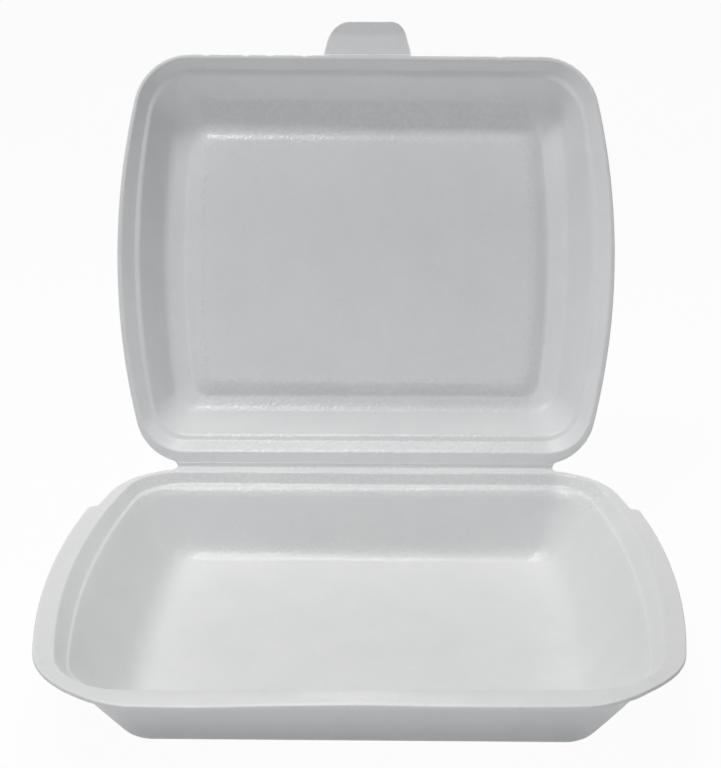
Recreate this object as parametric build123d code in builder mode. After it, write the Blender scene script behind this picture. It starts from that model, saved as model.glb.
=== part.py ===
from build123d import *
import math
import os

# Foam takeaway box, standing open: one thermoformed sheet of extruded polystyrene foam.
# Millimetres. X runs along the hinge, +Y points to the hinge, Z is up.
# The origin is the middle of the underside of the base.
# "Reach" is the distance forward from the hinge crease, towards -Y on the base.

# Sheet
BASE_WALL = 2.4  # foam thickness of the base's walls and floor
LID_WALL = 1.9  # foam thickness of the lid's walls and panel
LIP = 1.6  # thickness of the pressed rims
WEB = 1.0  # thickness of the pressed hinge web
GAP = 0.4  # air between the two rims when the box is shut
CREASE_GAP = 0.3  # a web half stops this far from its crease

# Hinge
HINGE_Y = 95.5
RIM_Z = 36.9  # height of the base's rim
AXIS_Z = RIM_Z + GAP / 2
OPEN_DEG = 107.0  # angle between the two rims as the box stands in the photograph

# Outline of both rims along the seam
RIM_HALF = 115.0
RIM_REAR = 1.6
RIM_FRONT = 189.9
RIM_BOW = 325.0  # radius of the gently bowed sides
RIM_FRONT_CORNER = 27.0
RIM_REAR_CORNER = 24.5
SEAM_STEP = 0.7  # the base's ridge stands this far outside the lid's lip
WEB_SHORT = 28.2  # the web ends this far in from the widest place of the rims
HINGE_HALF = RIM_HALF - WEB_SHORT

# Flange round the sides and the front of the base, a little lower at its edge
FLANGE_SIDE = 7.9  # how far it stands out from the ridge at the sides
FLANGE_NOSE = 8.3  # and at the front
FLANGE_SHIFT = 2.2  # its widest place lies this far behind the middle of the rims
FLANGE_HALF = RIM_HALF + SEAM_STEP + FLANGE_SIDE
FLANGE_FRONT = RIM_FRONT + SEAM_STEP + FLANGE_NOSE
FLANGE_MID = (RIM_REAR + RIM_FRONT) / 2 - FLANGE_SHIFT
FLANGE_BOW = 339.0
FLANGE_CORNER = 42.0
FLANGE_DROOP = 0.4
EAR_REACH = 43.5  # the flange begins here, in front of the hinge corners
EAR_ROUND = 2.6
STRIP_SIDE = 4.8  # the narrower rim behind the flange stands this far out from the ridge
STRIP_CORNER = 35.0

# Sections of the two hollows, from rim to floor: depth below the rim, distance in from
# the sides of the rim, distance in from its front, rear reach, front corner, rear corner
BASE_DEEP = RIM_Z - BASE_WALL
BASE_HOLLOW = (
    (0.0, 0.0, -0.5, 6.3, 27.0, 22.0),
    (4.85, 4.7, 3.7, 8.8, 25.0, 20.5),
    (5.4, 6.1, 5.2, 12.0, 24.0, 18.5),
    (8.0, 8.2, 7.0, 14.2, 23.0, 17.5),
    (BASE_DEEP - 4.5, 24.6, 22.0, 23.6, 13.0, 11.0),
    (BASE_DEEP - 1.3, 27.6, 24.7, 25.8, 11.0, 9.5),
    (BASE_DEEP, 30.6, 27.6, 28.8, 9.5, 8.5),
)
BASE_FLOOR_BOW = 700.0  # the sides get straighter towards the floor
LID_DEEP = 26.2
LID_HOLLOW = (
    (0.0, 2.0, 2.0, 7.0, 25.0, 20.5),
    (4.8, 6.6, 5.6, 11.2, 23.5, 18.5),
    (9.4, 8.2, 7.8, 13.3, 22.5, 17.0),
    (LID_DEEP - 3.0, 18.0, 16.9, 23.9, 16.0, 11.5),
    (LID_DEEP - 1.0, 19.8, 18.7, 25.8, 15.0, 10.5),
    (LID_DEEP, 22.2, 21.1, 28.2, 13.5, 9.5),
)
LID_FLOOR_BOW = 450.0

# Panel of the lid, pressed towards the inside so that shut boxes stack: height above the
# groove round it, distance in from the sides, from the front, rear reach, corner
PANEL = (
    (0.0, 28.3, 29.4, 32.0, 8.0),
    (3.0, 34.4, 35.1, 37.6, 5.0),
)

# Locking tab and the slit that takes it
TAB_ROOT_HALF = 20.0
TAB_TIP_HALF = 15.8
TAB_LENGTH = 13.8
TAB_ROUND = 6.0
TAB_THICK = 1.2
TAB_LEAN_DEG = 4.0  # the tab leans this far towards the inside
SLIT_HALF = TAB_ROOT_HALF + 0.8
SLIT_SIDE_GAP = 0.45
SLIT_REAR = RIM_FRONT + CREASE_GAP / 2 - SLIT_SIDE_GAP
SLIT_FRONT = RIM_FRONT + CREASE_GAP / 2 + TAB_THICK + SLIT_SIDE_GAP
SLIT_DEEP = 6.5


def tilted(origin, degrees):
    """Plane along the hinge whose -Y side points forward, opened by an angle."""
    turn = math.radians(degrees)
    return Plane(origin=origin, x_dir=(1, 0, 0), z_dir=(0, math.sin(turn), math.cos(turn)))


BASE_RIM = tilted((0, HINGE_Y, RIM_Z), 0)
LID_RIM = tilted((0, HINGE_Y, AXIS_Z), OPEN_DEG).offset(GAP / 2)
TAB_ROOT = LID_RIM.location * Pos(0, -RIM_FRONT - CREASE_GAP / 2, 0)
TAB_FACE = tilted(TAB_ROOT.position, OPEN_DEG - TAB_LEAN_DEG)


def tray_outline(plane, half, front, rear, front_corner, rear_corner, bow=RIM_BOW):
    """Closed outline on a plane: straight front and rear, bowed sides, round corners.

    The corner arcs are tangent to the straight edges and to the bowed sides.
    """
    mid = (front + rear) / 2
    bow_x = half - bow

    def corner(reach, radius):
        middle_x = bow_x + math.sqrt((bow - radius) ** 2 - (reach - mid) ** 2)
        end = math.atan2(reach - mid, middle_x - bow_x)
        half_way = (math.copysign(math.pi / 2, reach - mid) + end) / 2
        bend = (middle_x + radius * math.cos(half_way), -reach - radius * math.sin(half_way))
        edge = (bow_x + bow * math.cos(end), -mid - bow * math.sin(end))
        return middle_x, bend, edge

    rear_x, rear_bend, rear_edge = corner(rear + rear_corner, rear_corner)
    front_x, front_bend, front_edge = corner(front - front_corner, front_corner)
    with BuildSketch(plane) as outline:
        with BuildLine():
            right = ThreePointArc((rear_x, -rear), rear_bend, rear_edge)
            side = ThreePointArc(right @ 1, (half, -mid), front_edge)
            front_right = ThreePointArc(side @ 1, front_bend, (front_x, -front))
            mirror(about=Plane.YZ)
            Line((-rear_x, -rear), (rear_x, -rear))
            Line((-front_x, -front), front_right @ 1)
        make_face()
    return outline.sketch


def thickened(depths, sizes, wall, grows):
    """Offset one wall section outwards by the sheet's thickness.

    grows is 1 where the size rises away from the hollow and -1 where it falls.
    """
    normals = []
    for i in range(len(depths) - 1):
        run = grows * (sizes[i + 1] - sizes[i])
        fall = depths[i + 1] - depths[i]
        normals.append((fall / math.hypot(run, fall), -run / math.hypot(run, fall)))
    normals.append((0.0, 1.0))
    points = []
    for i, after in enumerate(normals):
        before = normals[max(i - 1, 0)]
        mean = (before[0] + after[0], before[1] + after[1])
        reach = 2 * wall / (mean[0] ** 2 + mean[1] ** 2)
        points.append((depths[i] + reach * mean[1], sizes[i] + grows * reach * mean[0]))
    return points


def read_at(points, depth):
    """Size of a section at one depth, on the straight run that holds that depth."""
    runs = list(zip(points, points[1:]))
    for (low, first), (high, last) in runs:
        if depth <= high or high == runs[-1][1][0]:
            return first + (last - first) * (depth - low) / (high - low)


def hollow_faces(insets):
    """Sections of a hollow with half width and front reach in place of the distances in."""
    return [(depth, RIM_HALF - side, RIM_FRONT - front, *rest) for depth, side, front, *rest in insets]


def outer_faces(hollow, wall):
    """Sections of the outer face that leave the sheet's thickness round a hollow."""
    depths = [section[0] for section in hollow]
    half = thickened(depths, [section[1] for section in hollow], wall, 1)
    front = thickened(depths, [section[2] for section in hollow], wall, 1)
    rear = thickened(depths, [section[3] for section in hollow], wall, -1)
    faces = []
    for (depth, width), section in zip(half, hollow):
        corner = max(width - section[1], 0.0) / 2
        faces.append(
            (
                depth,
                width,
                read_at(front, depth),
                read_at(rear, depth),
                section[4] + corner,
                section[5] + corner,
            )
        )
    return faces


def stack(plane, sections, direction, floor_bow):
    """Outlines of a tray's sections, each on its own level, with sides straighter lower down."""
    deepest = sections[-1][0]
    outlines = []
    for depth, *sizes in sections:
        bow = RIM_BOW + (floor_bow - RIM_BOW) * max(depth, 0.0) / deepest
        outlines.append(tray_outline(plane.offset(direction * depth), *sizes, bow))
    return outlines


def panel_outline(plane, step):
    """Outline of the lid's raised panel at one of its steps."""
    height, side, nose, rear, corner = step
    level = plane.offset(-height)
    return tray_outline(
        level, RIM_HALF - side, RIM_FRONT - nose, rear, corner, corner, LID_FLOOR_BOW
    )


# Base: walls and floor, flange and rear rim, its half of the web, slit for the tab
with BuildPart() as flange:
    ridge = (RIM_HALF + SEAM_STEP, RIM_FRONT + SEAM_STEP, RIM_REAR, RIM_FRONT_CORNER, RIM_REAR_CORNER)
    rear = 2 * FLANGE_MID - FLANGE_FRONT
    edge = (FLANGE_HALF, FLANGE_FRONT, rear, FLANGE_CORNER, RIM_REAR_CORNER, FLANGE_BOW)
    strip = (ridge[0] + STRIP_SIDE, ridge[1], RIM_REAR, RIM_FRONT_CORNER, STRIP_CORNER)
    top = tray_outline(BASE_RIM, *ridge)
    brim = tray_outline(BASE_RIM.offset(-FLANGE_DROOP), *edge)
    skirt = tray_outline(BASE_RIM.offset(-FLANGE_DROOP - LIP), *edge)
    under = tray_outline(BASE_RIM.offset(-LIP), *ridge)
    loft(sections=[skirt, brim, top], ruled=True)
    loft(sections=[skirt, under], ruled=True, mode=Mode.SUBTRACT)
    with BuildSketch(BASE_RIM.offset(-FLANGE_DROOP - LIP)) as plan:
        with Locations((0, -EAR_REACH - FLANGE_FRONT / 2)):
            Rectangle(4 * FLANGE_HALF, FLANGE_FRONT)
        add(tray_outline(Plane.XY, *edge), mode=Mode.INTERSECT)
        fillet(plan.vertices().group_by(Axis.Y)[-1], EAR_ROUND)
        add(tray_outline(Plane.XY, *strip))
    extrude(amount=2 * LIP + FLANGE_DROOP, mode=Mode.INTERSECT)

with BuildPart() as base:
    hollow = hollow_faces(BASE_HOLLOW)
    loft(sections=stack(BASE_RIM, outer_faces(hollow, BASE_WALL), -1, BASE_FLOOR_BOW), ruled=True)
    add(flange.part)
    with BuildSketch(BASE_RIM):
        with Locations((0, -(CREASE_GAP + RIM_REAR + WEB) / 2)):
            Rectangle(2 * HINGE_HALF, RIM_REAR + WEB - CREASE_GAP)
    extrude(amount=-WEB)
    loft(sections=stack(BASE_RIM, hollow, -1, BASE_FLOOR_BOW), ruled=True, mode=Mode.SUBTRACT)
    with BuildSketch(BASE_RIM.offset(-SLIT_DEEP)):
        with Locations((0, -(SLIT_REAR + SLIT_FRONT) / 2)):
            Rectangle(2 * SLIT_HALF, SLIT_FRONT - SLIT_REAR)
    extrude(amount=SLIT_DEEP + LIP, mode=Mode.SUBTRACT)

# Lid: walls, groove and raised panel, flat lip, its half of the web
with BuildPart() as lid:
    lip = (RIM_HALF, RIM_FRONT, RIM_REAR, RIM_FRONT_CORNER, RIM_REAR_CORNER)
    hollow = hollow_faces(LID_HOLLOW)
    loft(sections=stack(LID_RIM, outer_faces(hollow, LID_WALL), 1, LID_FLOOR_BOW), ruled=True)
    extrude(tray_outline(LID_RIM, *lip), amount=LIP)
    with BuildSketch(LID_RIM):
        with Locations((0, -(CREASE_GAP + RIM_REAR + WEB) / 2)):
            Rectangle(2 * HINGE_HALF, RIM_REAR + WEB - CREASE_GAP)
    extrude(amount=WEB)
    loft(sections=stack(LID_RIM, hollow, 1, LID_FLOOR_BOW), ruled=True, mode=Mode.SUBTRACT)
    inside = [panel_outline(LID_RIM.offset(LID_DEEP), step) for step in PANEL]
    outside = [panel_outline(LID_RIM.offset(LID_DEEP + LID_WALL), step) for step in PANEL]
    loft(sections=inside, ruled=True)
    loft(sections=outside, ruled=True, mode=Mode.SUBTRACT)

# Tab: tapered tongue with a round tip, folded a little at its root
with BuildPart() as locking_tab:
    with BuildSketch(TAB_FACE) as tongue:
        with BuildLine():
            Polyline(
                (-TAB_ROOT_HALF, 0),
                (-TAB_TIP_HALF, -TAB_LENGTH),
                (TAB_TIP_HALF, -TAB_LENGTH),
                (TAB_ROOT_HALF, 0),
                close=True,
            )
        make_face()
        fillet(tongue.vertices().group_by(Axis.Y)[0], TAB_ROUND)
    extrude(amount=TAB_THICK)

os.makedirs("parts", exist_ok=True)
for name, node in (("base", base), ("lid", lid), ("locking_tab", locking_tab)):
    node.part.label = name
    export_step(node.part, f"parts/{name}.step")
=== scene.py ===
import logging
import math
from dataclasses import dataclass, field
from enum import Enum
from typing import NamedTuple, Sequence

import bpy
import numpy as np
from mathutils import Matrix, Vector, noise


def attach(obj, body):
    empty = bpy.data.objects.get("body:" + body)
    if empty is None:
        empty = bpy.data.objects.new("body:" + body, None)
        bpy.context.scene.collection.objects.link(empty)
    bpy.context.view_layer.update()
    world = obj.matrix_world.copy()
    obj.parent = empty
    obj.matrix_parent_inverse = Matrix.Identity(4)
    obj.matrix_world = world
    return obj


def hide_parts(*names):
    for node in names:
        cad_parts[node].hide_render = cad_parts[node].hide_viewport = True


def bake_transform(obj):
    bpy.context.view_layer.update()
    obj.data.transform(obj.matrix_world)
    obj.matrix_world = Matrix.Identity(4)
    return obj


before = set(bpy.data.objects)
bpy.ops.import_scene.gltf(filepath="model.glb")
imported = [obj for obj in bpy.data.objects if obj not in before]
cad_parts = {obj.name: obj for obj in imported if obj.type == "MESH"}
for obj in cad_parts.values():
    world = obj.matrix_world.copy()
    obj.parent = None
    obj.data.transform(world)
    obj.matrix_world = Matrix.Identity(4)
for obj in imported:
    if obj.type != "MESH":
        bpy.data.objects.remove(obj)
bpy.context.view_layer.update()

LOG = logging.getLogger("meal_box")
MM = 0.001
Triple = tuple[float, float, float]

# Sizes shared by both halves of the box, in millimetres
HINGE_Y = 95.5
RIM_Z = 36.9
GAP = 0.4
AXIS_Z = RIM_Z + GAP / 2
OPEN_DEG = 107.0
RIM_BOW = 325.0
LIP = 1.6
TRIM_ROUND = 0.6
TRIM_STEPS = 5
CELL_SINK = 0.14
CELLS_FROM = 12.0
INTO = np.array((0.0, 0.0, 1.0))
HAIR = 1e-9

# Sockets of a Mix node that mixes colours
COLOUR_A, COLOUR_B, COLOUR_OUT = 6, 7, 2

# Rows that fill an inner floor and an outer one, as shares of its outline
FLOOR_SHARES = np.linspace(0.03, 0.97, 34)
BACK_SHARES = np.linspace(0.94, 0.06, 12)

# How firmly the skin was pressed, from 0 for dull and calm to 1 for shiny and pebbled
PLAIN = 0.3
LID_LIP = 0.4
PANEL = 0.6
TRIMMED = 0.6
WEB = 0.9

# Seed, width and height of the waves in the two halves
BASE_WAVES = ((3.1, 46.0, 0.28), (8.4, 17.0, 0.07))
LID_WAVES = ((21.7, 52.0, 0.3), (30.2, 19.0, 0.06))


class Body(Enum):
    """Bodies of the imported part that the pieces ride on."""

    BASE = "base"
    LID = "lid"
    TAB = "tab"


class Tag(Enum):
    """Values at the points of a mesh that the finish reads."""

    TRIMMED = "trimmed"
    PRESSED = "pressed"


class Level(NamedTuple):
    """Outline of a pressed tray at one depth, in millimetres.

    Depth counts from the rim, reaches count forward from the hinge crease.
    """

    depth: float
    side: float
    nose: float
    heel: float
    nose_round: float
    heel_round: float
    bow: float = RIM_BOW


@dataclass(frozen=True)
class RimPlane:
    """Plane of a rim: its crease, the way forward along it and the way into the tray."""

    crease: Triple
    forward: Triple
    deep: Triple

    def place(self, points: np.ndarray) -> np.ndarray:
        """Turn points of the tray into places in the part's frame.

        Args:
            points: Rows of X, reach and depth in millimetres.

        Returns:
            Rows of X, Y and Z in metres.
        """
        rows = np.asarray(points, float)
        along = rows[..., 0:1] * np.array((1.0, 0.0, 0.0))
        ahead = rows[..., 1:2] * np.array(self.forward)
        below = rows[..., 2:3] * np.array(self.deep)
        return MM * (np.array(self.crease) + along + ahead + below)


def lid_plane() -> RimPlane:
    """Plane of the lid's rim, opened from the base by its angle at rest.

    Returns:
        The plane, half the crease's gap from the hinge axis.
    """
    turn = math.radians(OPEN_DEG)
    deep = (0.0, math.sin(turn), math.cos(turn))
    crease = (0.0, HINGE_Y + deep[1] * GAP / 2, AXIS_Z + deep[2] * GAP / 2)
    return RimPlane(crease, (0.0, -math.cos(turn), math.sin(turn)), deep)


BASE_PLANE = RimPlane((0.0, HINGE_Y, RIM_Z), (0.0, -1.0, 0.0), (0.0, 0.0, -1.0))
LID_PLANE = lid_plane()


@dataclass(frozen=True)
class Perimeter:
    """How many columns each stretch of half an outline gets, front middle to rear middle."""

    front: int = 46
    corner: int = 28
    side: int = 60
    rear: int = 40
    fine: tuple[float, ...] = ()

    def side_shares(self) -> np.ndarray:
        """Shares along the side, from the front corner, with the fine ones worked in."""
        even = np.linspace(0.0, 1.0, self.side, endpoint=False)
        return np.unique(np.concatenate([even, np.array(self.fine)]))

    def half(self, level: Level) -> np.ndarray:
        """Half an outline.

        Args:
            level: The tray's level.

        Returns:
            Rows of X and reach, from the front middle round the +X side to the rear middle.
        """
        mid = (level.nose + level.heel) / 2
        bow_x = level.side - level.bow

        def corner(reach: float, radius: float) -> tuple[float, float]:
            """Middle of a corner arc and the angle where it meets the bowed side."""
            middle = bow_x + math.sqrt((level.bow - radius) ** 2 - (reach - mid) ** 2)
            return middle, math.atan2(reach - mid, middle - bow_x)

        nose_mid = level.nose - level.nose_round
        heel_mid = level.heel + level.heel_round
        front_x, front_turn = corner(nose_mid, level.nose_round)
        rear_x, rear_turn = corner(heel_mid, level.heel_round)
        bend = np.linspace(0.0, 1.0, self.corner, endpoint=False)
        ahead = math.pi / 2 + (front_turn - math.pi / 2) * bend
        beside = front_turn + (rear_turn - front_turn) * self.side_shares()
        behind = rear_turn - (math.pi / 2 + rear_turn) * bend
        x = np.concatenate(
            [
                front_x * np.linspace(0.0, 1.0, self.front, endpoint=False),
                front_x + level.nose_round * np.cos(ahead),
                bow_x + level.bow * np.cos(beside),
                rear_x + level.heel_round * np.cos(behind),
                rear_x * np.linspace(1.0, 0.0, self.rear + 1),
            ]
        )
        reach = np.concatenate(
            [
                np.full(self.front, level.nose),
                nose_mid + level.nose_round * np.sin(ahead),
                mid + level.bow * np.sin(beside),
                heel_mid + level.heel_round * np.sin(behind),
                np.full(self.rear + 1, level.heel),
            ]
        )
        return np.stack([x, reach], axis=1)

    def stretches(self) -> tuple[slice, ...]:
        """Where each stretch of half an outline lies.

        Returns:
            Slices of the front, front corner, side, rear corner and rear.
        """
        marks = [0]
        side = len(self.side_shares())
        for count in (self.front, self.corner, side, self.corner, self.rear + 1):
            marks.append(marks[-1] + count)
        return tuple(slice(a, b) for a, b in zip(marks, marks[1:]))

    def ring(self, level: Level) -> np.ndarray:
        """Closed outline of a level as rows of X, reach and depth."""
        half = self.half(level)
        return closed(np.column_stack([half, np.full(len(half), level.depth)]))


def closed(half: np.ndarray) -> np.ndarray:
    """Mirror half an outline to a closed one, without doubling its two ends."""
    left = half[-2:0:-1] * np.array((-1.0, 1.0, 1.0))
    return np.concatenate([half, left])


def softened(
    turns: Sequence[tuple[Level, float]], steps: int = 6, run: float = 2.4, most: float = 0.47
) -> list[Level]:
    """Round the turns of a section and divide its long runs.

    Args:
        turns: Levels of the section, each with how far its rounding reaches along its runs.
        steps: Points on each rounding.
        run: Longest run between two levels, in millimetres.
        most: Largest share of a run that a rounding may take.

    Returns:
        The levels of the softened section.
    """
    points = np.array([level for level, _ in turns])
    soft: list[np.ndarray] = [points[0]]
    for i in range(1, len(points) - 1):
        reach = turns[i][1]
        back, on = points[i - 1] - points[i], points[i + 1] - points[i]
        start = points[i] + back * min(reach / np.abs(back[:4]).max(), most)
        end = points[i] + on * min(reach / np.abs(on[:4]).max(), most)
        for t in np.linspace(0.0, 1.0, steps):
            soft.append((1 - t) ** 2 * start + 2 * t * (1 - t) * points[i] + t * t * end)
    soft.append(points[-1])
    levels = [soft[0]]
    for point in soft[1:]:
        first = levels[-1]
        gap = np.hypot(point[0] - first[0], point[1] - first[1])
        parts = max(1, math.ceil(gap / run))
        levels += [first + (point - first) * k / parts for k in range(1, parts + 1)]
    return [Level(*map(float, point)) for point in levels]


@dataclass
class Hoop:
    """One closed row of a shell, with how its surface was worked."""

    points: np.ndarray
    trimmed: float = 0.0
    pressed: float | np.ndarray = 0.0


def disc(rim: np.ndarray, shares: Sequence[float], pressed: float = PLAIN) -> list[Hoop]:
    """Rows that fill a flat floor inside a closed row.

    Args:
        rim: The closed row.
        shares: Size of each row against the rim's.
        pressed: How firmly the floor was pressed.

    Returns:
        The rows, in the order of the shares.
    """
    middle = np.array((0.0, (rim[:, 1].min() + rim[:, 1].max()) / 2, rim[0, 2]))
    return [Hoop(middle + (rim - middle) * share, pressed=pressed) for share in shares]


def rim_rows(
    ridge: np.ndarray, edge: np.ndarray, shares: Sequence[float], pressed: float
) -> tuple[list[Hoop], np.ndarray]:
    """Rows from a ridge out to a trimmed edge, and over it to its underside.

    Args:
        ridge: Closed row that the flat part starts from.
        edge: Closed row along the top of the sharp edge.
        shares: Where the rows of the flat part lie between the two.
        pressed: How firmly the flat part was pressed.

    Returns:
        The rows, both corners of the edge rounded, and the unit way into the sheet at each point.
    """
    inward = ridge - edge
    inward[:, 2] = 0.0
    inward /= np.linalg.norm(inward, axis=1, keepdims=True)
    top = edge + inward * TRIM_ROUND
    rows = [Hoop(ridge + (top - ridge) * share, pressed=pressed) for share in shares]
    turns = np.linspace(0.0, math.pi / 2, TRIM_STEPS)
    section = [(TRIM_ROUND * (1 - math.sin(a)), TRIM_ROUND * (1 - math.cos(a))) for a in turns]
    section += [(shift, LIP - fall) for shift, fall in section[::-1]]
    for shift, fall in section:
        rows.append(Hoop(edge + inward * shift + INTO * fall, trimmed=1.0, pressed=TRIMMED))
    return rows, inward


def cut_path(rows: Sequence[Hoop], inward: np.ndarray) -> np.ndarray:
    """Line along the middle of a shell's trimmed edge, sunk a little into the sheet."""
    return np.mean([row.points for row in rows if row.trimmed], axis=0) + inward * CELL_SINK


@dataclass(frozen=True)
class Mark:
    """Small dent or bump left in the foam by handling, in millimetres."""

    x: float
    reach: float
    radius: float
    depth: float
    stretch: float = 1.0

    def shift(self, points: np.ndarray) -> np.ndarray:
        """How far the mark pushes points into the tray.

        Args:
            points: Rows of X, reach and depth.

        Returns:
            A push for each point.
        """
        dx = (points[:, 0] - self.x) / (self.radius * self.stretch)
        dy = (points[:, 1] - self.reach) / self.radius
        return self.depth * np.exp(-(dx * dx + dy * dy))


def unevenness(points: np.ndarray, waves: Sequence[Triple]) -> np.ndarray:
    """Gentle waves that a pressed foam sheet keeps.

    Args:
        points: Rows of X, reach and depth in millimetres.
        waves: Seed, width and height of each set of waves.

    Returns:
        A height for each point.
    """
    heights = np.zeros(len(points))
    for seed, size, height in waves:
        heights += [height * noise.noise(Vector((x / size, r / size, seed))) for x, r, _ in points]
    return heights


def ring_faces(rows: int, count: int) -> list[list[int]]:
    """Faces between closed rows of vertices.

    Args:
        rows: How many rows there are.
        count: Vertices in each row.

    Returns:
        Vertex numbers of each face, row by row.
    """
    j = np.arange(count)
    k = (j + 1) % count
    faces: list[list[int]] = []
    for i in range(rows - 1):
        a, b = i * count, (i + 1) * count
        faces += np.stack([a + j, a + k, b + k, b + j], axis=1).tolist()
    return faces


def shell_object(name: str, hoops: Sequence[Hoop], plane: RimPlane) -> bpy.types.Object:
    """Skin closed rows into one closed shell.

    Args:
        name: Name of the piece.
        hoops: Rows from the middle of the inner floor round to the middle of the outer one.
        plane: Plane of the rim.

    Returns:
        The object, with its place in its mesh.
    """
    count = len(hoops[0].points)
    rows = np.concatenate([hoop.points for hoop in hoops])
    poles = [hoops[0].points.mean(axis=0), hoops[-1].points.mean(axis=0)]
    places = plane.place(np.concatenate([rows, poles]))
    start, end = len(rows), len(rows) + 1
    j = np.arange(count)
    k = (j + 1) % count
    last = (len(hoops) - 1) * count
    faces = ring_faces(len(hoops), count)
    faces += np.stack([np.full(count, start), k, j], axis=1).tolist()
    faces += np.stack([np.full(count, end), last + j, last + k], axis=1).tolist()
    piece = mesh_object(name, places, faces)
    for tag in Tag:
        values = [np.broadcast_to(getattr(hoop, tag.value), count) for hoop in hoops]
        ends = [values[0].mean(), values[-1].mean()]
        set_tag(piece.data, tag, np.concatenate([*values, ends]))
    return piece


def strip_object(name: str, loops: np.ndarray) -> bpy.types.Object:
    """Skin like sections into one strip and cap its two ends.

    Args:
        name: Name of the piece.
        loops: Sections in metres, each an inner line and then the outer line turned back.

    Returns:
        The linked object.
    """
    columns, count = loops.shape[:2]
    faces = ring_faces(columns, count)
    last = (columns - 1) * count
    for i in range(count // 2 - 1):
        a, b, c, d = i, i + 1, count - 2 - i, count - 1 - i
        faces.append([d, c, b, a])
        faces.append([last + a, last + b, last + c, last + d])
    return mesh_object(name, loops.reshape(-1, 3), faces)


def linked(name: str, data: bpy.types.ID) -> bpy.types.Object:
    """Object of some data, linked to the scene."""
    made = bpy.data.objects.new(name, data)
    bpy.context.scene.collection.objects.link(made)
    return made


def mesh_object(name: str, places: np.ndarray, faces: list[list[int]]) -> bpy.types.Object:
    """Object of a closed mesh, with its faces turned outwards and shaded smooth.

    Args:
        name: Name of the piece.
        places: Vertices in metres.
        faces: Vertex numbers of each face, all turned the same way round.

    Returns:
        The linked object.
    """
    mesh = bpy.data.meshes.new(name)
    mesh.from_pydata(np.asarray(places).tolist(), [], faces)
    mesh.update()
    if signed_volume(mesh) < 0:
        mesh.flip_normals()
    smooth(mesh)
    return linked(name, mesh)


def smooth(mesh: bpy.types.Mesh, degrees: float = 42.0) -> None:
    """Shade a mesh smooth, apart from its sharp edges."""
    mesh.shade_smooth()
    mesh.set_sharp_from_angle(angle=math.radians(degrees))


def signed_volume(mesh: bpy.types.Mesh) -> float:
    """Volume inside a closed mesh.

    Args:
        mesh: The mesh.

    Returns:
        The volume, negative where the faces point inwards.
    """
    mesh.calc_loop_triangles()
    corners = np.zeros(len(mesh.loop_triangles) * 3, np.int32)
    mesh.loop_triangles.foreach_get("vertices", corners)
    places = np.zeros(len(mesh.vertices) * 3)
    mesh.vertices.foreach_get("co", places)
    a, b, c = places.reshape(-1, 3)[corners.reshape(-1, 3)].transpose(1, 0, 2)
    return float((a * np.cross(b, c)).sum() / 6)


def applied(piece: bpy.types.Object) -> None:
    """Keep what a piece's modifiers make as its own plain mesh.

    Args:
        piece: The piece, left without modifiers.
    """
    graph = bpy.context.evaluated_depsgraph_get()
    made = bpy.data.meshes.new_from_object(piece.evaluated_get(graph))
    piece.modifiers.clear()
    old, piece.data = piece.data, made
    bpy.data.meshes.remove(old)
    made.name = piece.name


def set_tag(mesh: bpy.types.Mesh, tag: Tag, values: np.ndarray) -> None:
    """Write a tag's value at each point of a mesh."""
    layer = mesh.attributes.new(tag.value, "FLOAT", "POINT")
    layer.data.foreach_set("value", values.astype(np.float32))


def worked(piece: bpy.types.Object, trimmed: float, pressed: float) -> None:
    """Tag a whole piece with how its surface was worked.

    Args:
        piece: The piece.
        trimmed: How much of it is bare cut foam.
        pressed: How firmly its skin was pressed.
    """
    for tag, value in ((Tag.TRIMMED, trimmed), (Tag.PRESSED, pressed)):
        set_tag(piece.data, tag, np.full(len(piece.data.vertices), value))


def dress(piece: bpy.types.Object, material: bpy.types.Material) -> None:
    """Give a piece one finish.

    Args:
        piece: The piece.
        material: Skin of the foam.
    """
    piece.data.materials.clear()
    piece.data.materials.append(material)


class Wiring:
    """Fills a node tree, joining each node to the others as it is added."""

    def __init__(self, tree: bpy.types.NodeTree) -> None:
        """Start with an empty tree."""
        self.tree = tree
        tree.nodes.clear()

    def add(
        self, kind: str, inputs: dict[str | int, object] | None = None, **settings: object
    ) -> bpy.types.Node:
        """Add a node.

        Args:
            kind: Type of the node.
            inputs: What each input takes, either a socket to join or a value to hold.
            settings: Properties of the node itself.

        Returns:
            The node.
        """
        node = self.tree.nodes.new(kind)
        for label, setting in settings.items():
            setattr(node, label, setting)
        for label, given in (inputs or {}).items():
            if isinstance(given, bpy.types.NodeSocket):
                self.tree.links.new(given, node.inputs[label])
            else:
                node.inputs[label].default_value = given
        return node


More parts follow.
